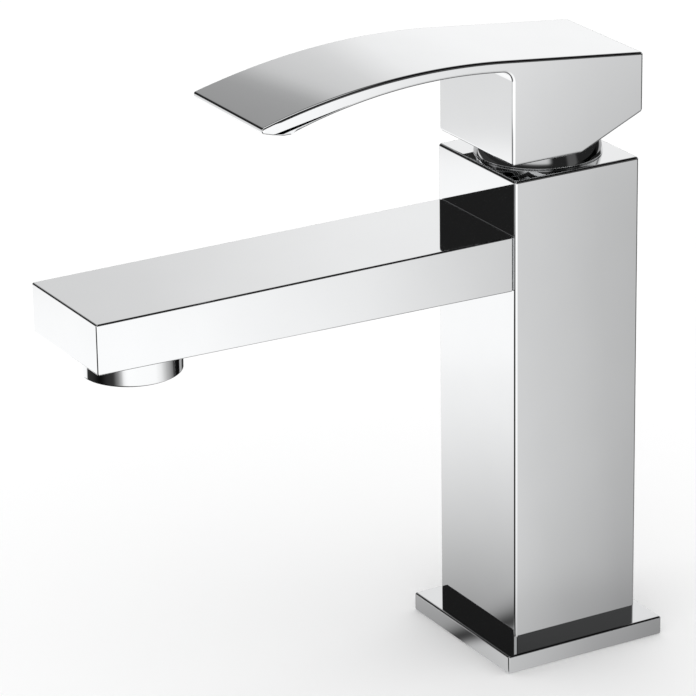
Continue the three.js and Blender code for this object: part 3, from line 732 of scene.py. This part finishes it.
dome = add_ball("dome_cover_spun", dome_radius, 128, 96)
bpy.ops.object.transform_apply(location=True, rotation=True, scale=True)
edit(dome, "VERT")
for height, side in ((column_top, -1), (dome_high.z, 1)):
    bpy.ops.mesh.select_all(action="SELECT")
    bpy.ops.mesh.bisect(
        plane_co=(0, 0, height), plane_no=(0, 0, side), clear_outer=True, clear_inner=False,
    )
modify(dome, "SOLIDIFY", thickness=dome_wall, offset=-1)
round_edges(dome, dome_edge, lambda edge: is_sharp(edge, rim_angle), 3)
smooth(dome)
give(dome, "fixed_body", "chrome", chrome, "dome_cover")

# ------------------------------------------------------------------------------- handle
# Block and blade in one zinc casting, polished and chrome plated. The top runs flat over the
# block and into a long arch; the blade thins towards a nose, and the block is hollow below.

handle_low, handle_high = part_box("handle")
handle_half = handle_high.x
handle_edge = 0.8 * mm
arch_steps = 40
fillet_steps = 10
nose_steps = 6
tip_share = 0.65                 # the thin tip is rounded less than the block
nose_round = 3 * mm
front_y = -20.1 * mm
rear_y = handle_high.y
bottom_z = handle_low.z
rear_top_z = 171.75 * mm
heel_y = 2.2 * mm
heel_rear_z = 155 * mm
top_slope = radians(6.2)
top_arc_y = -22 * mm
top_arc_radius = 200 * mm
tip_y = handle_low.y
tip_face = 1.5 * mm
nose_y = -89 * mm
under_radius = 155 * mm
apex_y = -42 * mm
apex_z = 174.4 * mm
fillet = 3 * mm
socket_radius = 18.6 * mm
stem_side = 8.6 * mm
stem_socket_top = 166.3 * mm
screw_z = 162.4 * mm
screw_hole = 2.8 * mm
plug_radius = 3.5 * mm
plug_height = 2.6 * mm
plug_edge = 0.3 * mm

# outline in the plane of symmetry: (y, z) corners, and arcs by centre, radius and angles
top_arc_z = rear_top_z + (rear_y - top_arc_y) * tan(top_slope)
top_centre = Vector((
    0, top_arc_y - top_arc_radius * sin(top_slope), top_arc_z - top_arc_radius * cos(top_slope),
))
tip_angle = asin((top_centre.y - tip_y) / top_arc_radius)
under_centre = Vector((0, apex_y, apex_z - under_radius))
nose_angle = asin((apex_y - nose_y) / under_radius)
fillet_y = front_y - fillet
fillet_angle = asin((fillet_y - apex_y) / (under_radius - fillet))
fillet_centre = under_centre + (under_radius - fillet) * Vector((
    0, sin(fillet_angle), cos(fillet_angle),
))


def on_arc(centre, radius, angle):
    """A point on an arc about a line along X; the angle leans from the top towards -Y."""
    return centre + radius * Vector((0, -sin(angle), cos(angle)))


def draw_arc(centre, angle, steps):
    """Draws an arc on from the pen, about a line along X through its centre."""
    bpy.ops.mesh.spin(steps=steps, angle=angle, center=centre, axis=(-1, 0, 0))


top_start = on_arc(top_centre, top_arc_radius, -top_slope)
tip_top = on_arc(top_centre, top_arc_radius, tip_angle)
nose = on_arc(under_centre, under_radius, nose_angle)
fillet_end = fillet_centre + Vector((0, fillet, 0))
side_x = Vector((-handle_half, 0, 0))

first = [
    Vector((0, front_y, bottom_z)),
    Vector((0, heel_y, bottom_z)),
    Vector((0, rear_y, heel_rear_z)),
    Vector((0, rear_y, rear_top_z)),
    top_start,
]
handle = start_outline("handle_polished", first[0] + side_x)
draw_lines([point + side_x for point in first])
draw_arc(top_centre + side_x, tip_angle + top_slope, arch_steps)
tip_bottom = tip_top - Vector((0, 0, tip_face))
draw_lines([point + side_x for point in (tip_top, tip_bottom, nose)])
draw_arc(under_centre + side_x, -(nose_angle + fillet_angle), arch_steps)
draw_arc(fillet_centre + side_x, -(pi / 2 - fillet_angle), fillet_steps)
draw_lines([point + side_x for point in (fillet_end, first[0])])
bpy.ops.mesh.select_all(action="SELECT")
bpy.ops.mesh.remove_doubles(threshold=weld)
bpy.ops.mesh.select_all(action="SELECT")
bpy.ops.mesh.edge_face_add()
bpy.ops.mesh.extrude_region_move(TRANSFORM_OT_translate={"value": (2 * handle_half, 0, 0)})
close_mesh()
round_edges(handle, nose_round, lambda edge: (
    is_sharp(edge) and all((v.co - nose).yz.length < hair for v in edge.verts)
), nose_steps)
edit(handle, "EDGE")
cage = bmesh.from_edit_mesh(handle.data)
weight = cage.edges.layers.float.new("bevel_weight_edge")
for edge in cage.edges:
    if is_sharp(edge):
        edge[weight] = tip_share if max(v.co.y for v in edge.verts) < nose.y else 1.0
bmesh.update_edit_mesh(handle.data)
modify(
    handle, "BEVEL", limit_method="WEIGHT", width=handle_edge, segments=5, use_clamp_overlap=False,
)
carve(handle, add_ball("socket", socket_radius, 96, 64))
carve(handle, add_block(
    "stem_socket",
    (-stem_side / 2, -stem_side / 2, dome_centre_z),
    (stem_side / 2, stem_side / 2, stem_socket_top),
))
carve(handle, rod_along_y("screw_hole", screw_hole, 0, rear_y + far, screw_z))
carve(handle, rod_along_y(
    "plug_seat", plug_radius + hair, rear_y - plug_height - hair, rear_y + far, screw_z,
))
smooth(handle)
give(handle, "lever_group", "chrome", chrome, "handle")

# ------------------------------------------------------------------------------- index plug
# Small plastic plug that closes the screw's hole at the back of the handle: red on the hot
# side and blue on the cold, with a slightly rounded, glossy face.


def index_colours():
    """Glossy plastic, red and blue in halves."""
    material, shader, add, link = start_material("index_plastic")
    place = add("ShaderNodeTexCoord").outputs["Object"]
    across = add("ShaderNodeSeparateXYZ", {"Vector": place}).outputs["X"]
    half = add("ShaderNodeMath", {0: across, 1: 0.0}, operation="GREATER_THAN").outputs["Value"]
    link(tint(add, half, (0.55, 0.02, 0.02), (0.02, 0.10, 0.45)), shader.inputs["Base Color"])
    link(spread(add, grain(add, 1400, 2), 0.14, 0.24), shader.inputs["Roughness"])
    shader.inputs["Coat Weight"].default_value = 0.3
    return material


plug = rod_along_y("index_plug_moulded", plug_radius, rear_y - plug_height, rear_y, screw_z, 64)
round_edges(plug, plug_edge, lambda edge: is_sharp(edge, rim_angle), 3)
smooth(plug)
give(plug, "lever_group", "index_plastic", index_colours(), "index_plug")

# ------------------------------------------------------------------------------- floor
# Pale paper sweep for the object to stand on. A mirror ray sees a painted reflection on it instead,
# a glow that the floor gives off only to mirror rays though it is no lamp: bright fields on the hot
# side (-X) and the cold side (+X), painted shade that darkens them towards the base, and a painted
# dark wedge in front of the base, where no flag stands, that reaches out to half a metre.


def calculate(tree, operation, *values):
    """A calculation with the values that it needs."""
    inputs = dict(enumerate(values))
    return add_node(tree, "ShaderNodeMath", inputs, operation=operation).outputs["Value"]


def ramp(tree, value, points):
    """A smooth curve through (value, level) points, from the lowest value to the highest."""
    low, high = points[0][0], points[-1][0]
    levels = {"Value": value, "From Min": low, "From Max": high}
    share = add_node(tree, "ShaderNodeMapRange", levels).outputs["Result"]
    node = add_node(tree, "ShaderNodeFloatCurve", {"Value": share})
    curve = node.mapping.curves[0]
    top = max(level for _, level in points)
    places = [((at - low) / (high - low), level / top) for at, level in points]
    curve.points[0].location = places[0]
    curve.points[1].location = places[-1]
    for place in places[1:-1]:
        curve.points.new(*place)
    for point in curve.points:
        point.handle_type = "AUTO_CLAMPED"
    node.mapping.update()
    return calculate(tree, "MULTIPLY", node.outputs["Value"], top)


def heading(tree, x, y):
    """Degrees round the Z axis from -Y towards +X, from -180 to 180."""
    backwards = calculate(tree, "MULTIPLY", y, -1.0)
    return calculate(tree, "DEGREES", calculate(tree, "ARCTAN2", x, backwards))


floor_size = 12.0
select_only()
bpy.ops.mesh.primitive_plane_add(size=floor_size, location=(0, 0, 0))
floor = bpy.context.object
floor.name = "floor"
floor_material = bpy.data.materials.new("floor")
floor_material.use_nodes = True
floor_tree = floor_material.node_tree
floor_tree.nodes.clear()
place = add_node(floor_tree, "ShaderNodeTexCoord").outputs["Object"]
parts = add_node(floor_tree, "ShaderNodeSeparateXYZ", {"Vector": place})
floor_x, floor_y = parts.outputs["X"], parts.outputs["Y"]
away = calculate(floor_tree, "SQRT", calculate(
    floor_tree, "ADD",
    calculate(floor_tree, "POWER", floor_x, 2.0),
    calculate(floor_tree, "POWER", floor_y, 2.0),
))
around_floor = heading(floor_tree, floor_x, floor_y)
# Painted shade: the hot field dims towards the base, a painted shadow round the foot that only mirror rays
# see.
hot_reach = ramp(floor_tree, away, [
    (0.02, 0.4), (0.062, 0.72), (0.115, 1.03), (0.205, 1.38), (0.27, 1.5), (0.42, 1.45),
    (0.49, 1.15), (0.7, 1.1), (1.0, 1.0), (1.2, 0.05),
])
hot_turn = ramp(floor_tree, around_floor, [
    (-180, 0.05), (-165, 0.4), (-138, 0.45), (-124, 0.03), (-100, 0.03), (-84, 1), (-30, 1),
    (0, 0.03), (180, 0),
])
# Painted shade: the cold field dims towards the base in the same way, a painted shadow round the foot.
cold_reach = ramp(floor_tree, away, [
    (0.02, 0.5), (0.045, 0.6), (0.1, 0.85), (0.2, 0.97), (0.4, 1.03), (0.49, 1.15), (0.7, 1.3),
    (1.0, 1.2), (1.2, 0.05),
])
cold_centre_x = -0.10
cold_centre_y = -0.06
cold_heading = heading(
    floor_tree,
    calculate(floor_tree, "SUBTRACT", floor_x, cold_centre_x),
    calculate(floor_tree, "SUBTRACT", floor_y, cold_centre_y),
)
cold_turn = ramp(floor_tree, cold_heading, [
    (-180, 0), (-30, 0), (0, 1.55), (97, 1.55), (105, 1.44), (111, 1.3), (114.5, 1.15), (117, 1.02),
    (120.4, 0.9), (123, 0.78), (130, 0.6), (140, 0.3), (150, 0.03), (180, 0.03),
])
cold_side = ramp(floor_tree, around_floor, [(-180, 0), (-10, 0), (16, 1), (180, 1)])
painted_glow = calculate(
    floor_tree, "ADD",
    calculate(floor_tree, "MULTIPLY", hot_reach, hot_turn),
    calculate(floor_tree, "MULTIPLY", calculate(floor_tree, "MULTIPLY", cold_reach, cold_turn), cold_side),
)
# Painted shade: a dark wedge painted into the glow in front of the base, its edges measured from a point
# near the front right of the base; no flag stands there.
corner_x = 26 * mm
corner_y = 26.5 * mm
front_heading = heading(
    floor_tree,
    calculate(floor_tree, "SUBTRACT", floor_x, corner_x),
    calculate(floor_tree, "ADD", floor_y, corner_y),
)
painted_wedge_shift = ramp(floor_tree, away, [(0, 0), (0.24, 0), (0.36, 14), (1.2, 14)])
left_of_painted_wedge = ramp(floor_tree, calculate(floor_tree, "SUBTRACT", front_heading, painted_wedge_shift), [
    (-180, 1), (-55, 1), (-51, 0.03), (180, 0.03),
])
right_of_painted_wedge = ramp(floor_tree, front_heading, [
    (-180, 0.03), (10, 0.03), (18, 0.13), (28, 0.5), (42, 1), (180, 1),
])
past_painted_wedge = ramp(floor_tree, away, [(0, 0), (0.47, 0), (0.53, 1), (1.2, 1)])
beside_painted_wedge = calculate(floor_tree, "MAXIMUM", left_of_painted_wedge, right_of_painted_wedge)
painted_wedge_mask = calculate(floor_tree, "MAXIMUM", beside_painted_wedge, past_painted_wedge)
# Painted reflection: the glow and its painted shade leave the floor as emitted light, for mirror rays
# only.
painted_reflection = add_node(floor_tree, "ShaderNodeEmission", {
    "Strength": calculate(floor_tree, "MULTIPLY", painted_glow, painted_wedge_mask),
})
paper = add_node(floor_tree, "ShaderNodeBsdfDiffuse", {"Color": (0.93, 0.93, 0.93, 1)})
# Mirror rays see the painted reflection; all other rays see the plain paper.
ray = add_node(floor_tree, "ShaderNodeLightPath")
floor_mix = add_node(floor_tree, "ShaderNodeMixShader", {
    0: ray.outputs["Is Glossy Ray"], 1: paper.outputs["BSDF"], 2: painted_reflection.outputs["Emission"],
})
add_node(floor_tree, "ShaderNodeOutputMaterial", {"Surface": floor_mix.outputs["Shader"]})
floor.data.materials.append(floor_material)

# ------------------------------------------------------------------------------- studio light
# Even white light for matt pieces. A mirror ray sees panels with dark between them instead: a
# wall behind on the hot side, a band behind on the cold side, a band in front, and one overhead.

world = bpy.data.worlds.new("studio")
bpy.context.scene.world = world
world.use_nodes = True
sky = world.node_tree
sky.nodes.clear()
towards = add_node(sky, "ShaderNodeTexCoord").outputs["Generated"]
axes = add_node(sky, "ShaderNodeSeparateXYZ", {"Vector": towards})
height = calculate(sky, "DEGREES", calculate(sky, "ARCSINE", axes.outputs["Z"]))
full_turn = 360.0
around = calculate(sky, "WRAP", heading(sky, axes.outputs["X"], axes.outputs["Y"]), full_turn, 0.0)
back_wall = ramp(sky, height, [
    (-90, 1.27), (10, 1.27), (20, 1.22), (24.5, 1.15), (27.5, 0.7), (33, 0.6), (45, 0.3),
    (60, 0.1), (90, 0.1),
])
back_side = ramp(sky, around, [
    (0, 0.02), (106, 0.02), (115, 0.1), (125, 0.1), (134, 0.02), (196, 0.02), (214, 1), (239, 1),
    (242, 0.9), (245, 0.78), (256, 0.7), (276, 0.6), (286, 0.024), (330, 0.022), (360, 0.02),
])
front_wall = ramp(sky, height, [
    (-90, 0), (2, 0), (9, 0.7), (16, 0.85), (26, 0.85), (34, 0.25), (44, 0.05), (60, 0), (90, 0),
])
front_side = ramp(sky, around, [(0, 0.9), (70, 1), (86, 0), (314, 0), (328, 0.8), (360, 0.9)])
side_wall = ramp(sky, height, [(-90, 0), (12, 0), (17, 0.9), (28, 0.9), (34, 0), (90, 0)])
side_side = ramp(sky, around, [(0, 0), (136, 0), (146, 1), (190, 1), (206, 0), (360, 0)])
overhead = ramp(sky, height, [(-90, 0), (64, 0), (74, 1.0), (90, 1.2)])
hot_panel = calculate(sky, "MULTIPLY", back_wall, back_side)
cold_band = calculate(sky, "MULTIPLY", side_wall, side_side)
front_band = calculate(sky, "MULTIPLY", front_wall, front_side)
lit = calculate(
    sky, "ADD",
    calculate(sky, "ADD", hot_panel, cold_band),
    calculate(sky, "ADD", front_band, overhead),
)
plain_level = 1.12
path = add_node(sky, "ShaderNodeLightPath")
mirror_sky = add_node(sky, "ShaderNodeBackground", {"Color": (1, 1, 1, 1), "Strength": lit})
plain_sky = add_node(sky, "ShaderNodeBackground", {
    "Color": (1, 1, 1, 1), "Strength": plain_level,
})
sky_mix = add_node(sky, "ShaderNodeMixShader", {
    0: path.outputs["Is Glossy Ray"],
    1: plain_sky.outputs["Background"],
    2: mirror_sky.outputs["Background"],
})
add_node(sky, "ShaderNodeOutputWorld", {"Surface": sky_mix.outputs["Shader"]})

# ------------------------------------------------------------------------------- camera
# A long lens from the front right, a little above the lever.

view_heading = radians(60.27)
view_height = radians(21.14)
view_roll = radians(-0.910)
view_distance = 1.1293
view_target = Vector((-0.03057, -0.04361, 0.08315))
back = Vector((
    sin(view_heading) * cos(view_height), -cos(view_heading) * cos(view_height), sin(view_height),
))
level_right = Vector((cos(view_heading), sin(view_heading), 0))
level_up = back.cross(level_right)
right = level_right * cos(view_roll) + level_up * sin(view_roll)
up = level_up * cos(view_roll) - level_right * sin(view_roll)

lens = bpy.data.cameras.new("camera")
lens.lens = 207.9
lens.sensor_width = 36
lens.clip_end = 50
camera = bpy.data.objects.new("camera", lens)
bpy.context.scene.collection.objects.link(camera)
camera.matrix_world = Matrix.Translation(view_target + back * view_distance) @ Matrix(
    (right, up, back)
).transposed().to_4x4()
bpy.context.scene.camera = camera
bpy.context.scene.view_settings.view_transform = "Standard"
